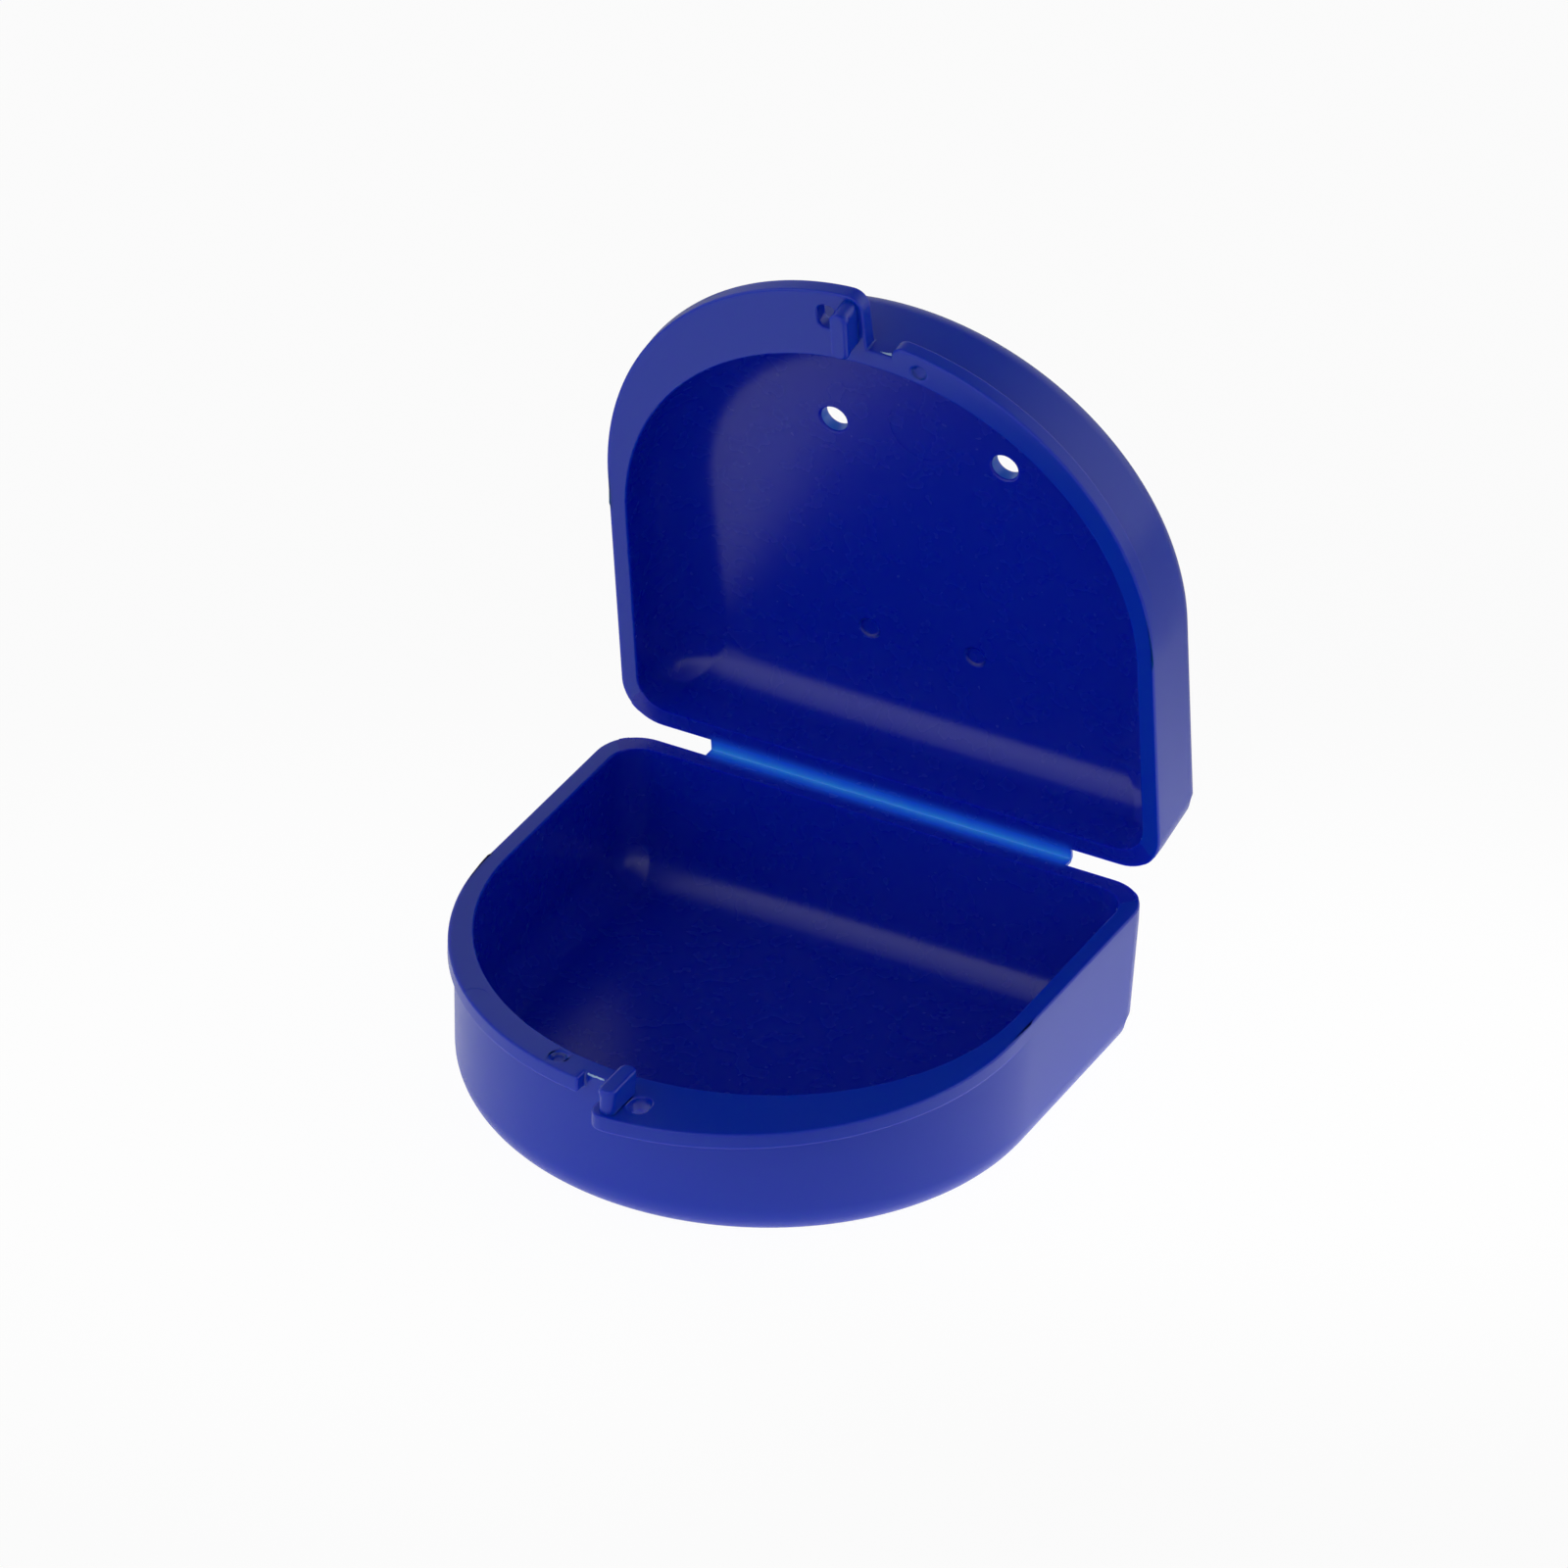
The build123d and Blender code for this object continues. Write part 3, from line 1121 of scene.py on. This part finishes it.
@dataclass(kw_only=True)
class HingeWeb:
    """The thin web of the living hinge: a leg off each rear wall and a bend between them."""

    finish: bpy.types.Material
    name: str = "hinge_strip"
    length: float = WEB_LENGTH
    thickness: float = 0.47
    waist: float = 0.16
    gap: float = 0.13
    setback: float = SETBACK
    root: float = 0.6
    bend: float = 180.0 - OPEN_ANGLE
    steps: int = 16

    def build(self) -> bpy.types.Object:
        """Models the web, made thinner at the waist where it folds, and hangs it between the
        bodies.

        Returns:
            The web.
        """
        pivot = Vector(HINGE)
        leg = self.setback + self.root
        middle = Vector((0, 0, -self.gap - self.thickness / 2))
        fold = Matrix.Rotation(math.radians(self.bend), 4, "X")
        bpy.ops.mesh.primitive_plane_add(size=1, location=pivot + middle - Vector((0, leg, 0)),
                                         rotation=(math.pi / 2, 0, 0))
        web = bpy.context.object
        web.scale = (self.length, self.thickness, 1)
        settle(web)
        outside = self.gap + self.thickness
        with editing(web):
            pick(web, Part.FACE, lambda co: True)
            bpy.ops.mesh.extrude_region_move(TRANSFORM_OT_translate={"value": (0, leg, 0)})
            bpy.ops.mesh.spin(steps=self.steps, angle=-math.radians(self.bend), center=pivot,
                              axis=(1, 0, 0))
            bpy.ops.mesh.extrude_region_move(
                TRANSFORM_OT_translate={"value": fold @ Vector((0, leg, 0))})
            for step in range(1, self.steps):
                turn = math.radians(self.bend) * step / self.steps
                ring = pivot + Vector((0, math.sin(turn), -math.cos(turn))) * outside
                pick(web, Part.VERTEX, lambda co: math.hypot(co.y - ring.y, co.z - ring.z) < NEAR)
                size = 1 - self.waist / outside * math.sin(math.pi * step / self.steps) ** 2
                bpy.ops.transform.resize(value=(1, size, size), center_override=pivot)
        face_outwards(web)
        put_in_place(web, self.name, Matrix.Identity(4))
        bpy.ops.object.shade_smooth_by_angle(angle=SMOOTH_ANGLE)
        web.data.materials.append(self.finish)
        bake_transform(web)
        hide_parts("hinge_web")
        return web


@dataclass(frozen=True)
class Window:
    """A broad soft window, with the cosines off its middle at which it starts and is full."""

    middle: Place
    start: float
    light: float
    full: float = 0.97

    def build(self, tree: bpy.types.NodeTree,
              toward: bpy.types.NodeSocket) -> bpy.types.NodeSocket:
        """Adds the window's light to a world.

        Args:
            tree: The world's node tree.
            toward: The output socket that gives each direction.

        Returns:
            The output socket with the window's strength in each direction.
        """
        facing = add_node(tree, "ShaderNodeVectorMath", {"operation": "DOT_PRODUCT"},
                          {1: Vector(self.middle).normalized()}, {0: toward})
        return ramp(tree, facing.outputs["Value"], self.start, self.full, 0.0, self.light,
                    smooth=True)


@dataclass(frozen=True)
class Studio:
    """The camera, the white paper under the case and the light around it."""

    lens: float = 285.81
    sensor: float = 36.0
    shift: Spot = (-0.002197, 0.002066)
    eye: Place = (0.5671945, -1.1288179, 0.8435561)
    forward: Place = (-0.37636867, 0.75684634, -0.5343503)
    upward: Place = (-0.27089886, 0.46165174, 0.84468424)
    sight: float = 20.0
    paper_size: float = 4.0
    windows: tuple[Window, Window] = (Window((-0.33, -0.76, 0.42), 0.5, 0.42),
                                      Window((0.75, 0.6, 0.1), 0.45, 0.35))
    room_top: float = 0.35
    room_light: float = 0.5
    ceiling_start: float = 0.9
    ceiling_light: float = 0.15

    def place_camera(self) -> None:
        """Puts the camera where the photograph was taken from."""
        lens = bpy.data.cameras.new("camera")
        lens.sensor_width = self.sensor
        lens.lens = self.lens
        lens.shift_x, lens.shift_y = self.shift
        lens.clip_end = self.sight
        camera = bpy.data.objects.new("camera", lens)
        bpy.context.scene.collection.objects.link(camera)
        forward = Vector(self.forward).normalized()
        right = forward.cross(Vector(self.upward)).normalized()
        upward = right.cross(forward)
        turn = Matrix((right, upward, -forward)).transposed().to_4x4()
        camera.matrix_world = Matrix.Translation(self.eye) @ turn
        bpy.context.scene.camera = camera

    def lay_paper(self) -> None:
        """Lays the white paper."""
        bpy.ops.mesh.primitive_plane_add(size=self.paper_size, location=(0, 0, 0))
        paper = bpy.context.object
        paper.name = "paper"
        paper.data.materials.append(StudioPaper().build())

    def light(self) -> None:
        """Surrounds the case with soft white light, plain white where the camera looks past it."""
        world = bpy.data.worlds.new("studio")
        world.use_nodes = True
        bpy.context.scene.world = world
        tree = world.node_tree
        tree.nodes.clear()
        toward = add_node(tree, "ShaderNodeTexCoord").outputs["Generated"]
        glow = calculate(tree, "ADD", *(window.build(tree, toward) for window in self.windows))
        parts = add_node(tree, "ShaderNodeSeparateXYZ", None, None, {0: toward})
        room = ramp(tree, parts.outputs["Z"], self.room_top, self.ceiling_start, self.room_light,
                    self.ceiling_light, smooth=True)
        around = add_node(tree, "ShaderNodeBackground", None, {"Color": WHITE},
                          {"Strength": calculate(tree, "ADD", glow, room)})
        seen = add_node(tree, "ShaderNodeBackground", None, {"Color": WHITE, "Strength": 1.0})
        path = add_node(tree, "ShaderNodeLightPath")
        mixed = add_node(tree, "ShaderNodeMixShader", None, None,
                         {0: path.outputs["Is Camera Ray"], 1: around.outputs["Background"],
                          2: seen.outputs["Background"]})
        add_node(tree, "ShaderNodeOutputWorld", None, None, {"Surface": mixed.outputs["Shader"]})


def main() -> None:
    """Builds the case and the studio around it."""
    logging.basicConfig(level=logging.INFO, format="%(name)s: %(message)s")
    bpy.context.scene.view_settings.view_transform = "Standard"
    # The outside, moulded against polished steel: deep blue, with blue light carried furthest in.
    moulded = Polypropylene("blue_moulded_polypropylene", "#0236c2", "#2858ff", 1.2).build()
    # The hollow of the same moulding, formed by the duller core; its deeper, less green colour is
    # painted shade, standing in for the shade inside the hollow.
    cored_with_painted_shade = Polypropylene("core_side_painted_shade_polypropylene", "#0222bc", "#2850ff", 1.2,
                          roughness=0.27).build()
    # The same melt in the web, half a millimetre thin where it folds; its pale glow by the fold is
    # painted glow in its colour.
    folded = Polypropylene("thin_folded_polypropylene", "#0236c8", "#3c78ff", 0.8).build()
    # The same melt in the walls of its vents, painted a much lighter blue: painted glow, standing
    # in for the light that comes through them from close by.
    vent_painted_glow = Polypropylene("vent_painted_glow_polypropylene", "#2a78e0", "#3c78ff", 0.8).build()
    # The same melt torn off where it entered the mould: crazed pale, and no longer glossy.
    torn = Polypropylene("torn_pale_polypropylene", "#c0e0ff", "#6090ff", 0.2, scatter=0.0,
                         roughness=0.6).build()
    base = BaseTray(finish=moulded, core_and_painted_shade_finish=cored_with_painted_shade, vent_painted_glow_finish=vent_painted_glow)
    lid = LidTray(finish=moulded, core_and_painted_shade_finish=cored_with_painted_shade, vent_painted_glow_finish=vent_painted_glow)
    parts = (base, lid, HingeWeb(finish=folded),
             GateScar(tray=base, place=(2.7, -71.4, 0.28), turn=5.0, finish=torn, seed=3),
             GateScar(tray=lid, place=(1.9, -71.4, 0.55), turn=-5.0, finish=torn, seed=8))
    for part in parts:
        piece = part.build()
        log.info("%s: %d faces", piece.name, len(piece.data.polygons))
    studio = Studio()
    studio.place_camera()
    studio.lay_paper()
    studio.light()


if __name__ == "__main__":
    main()
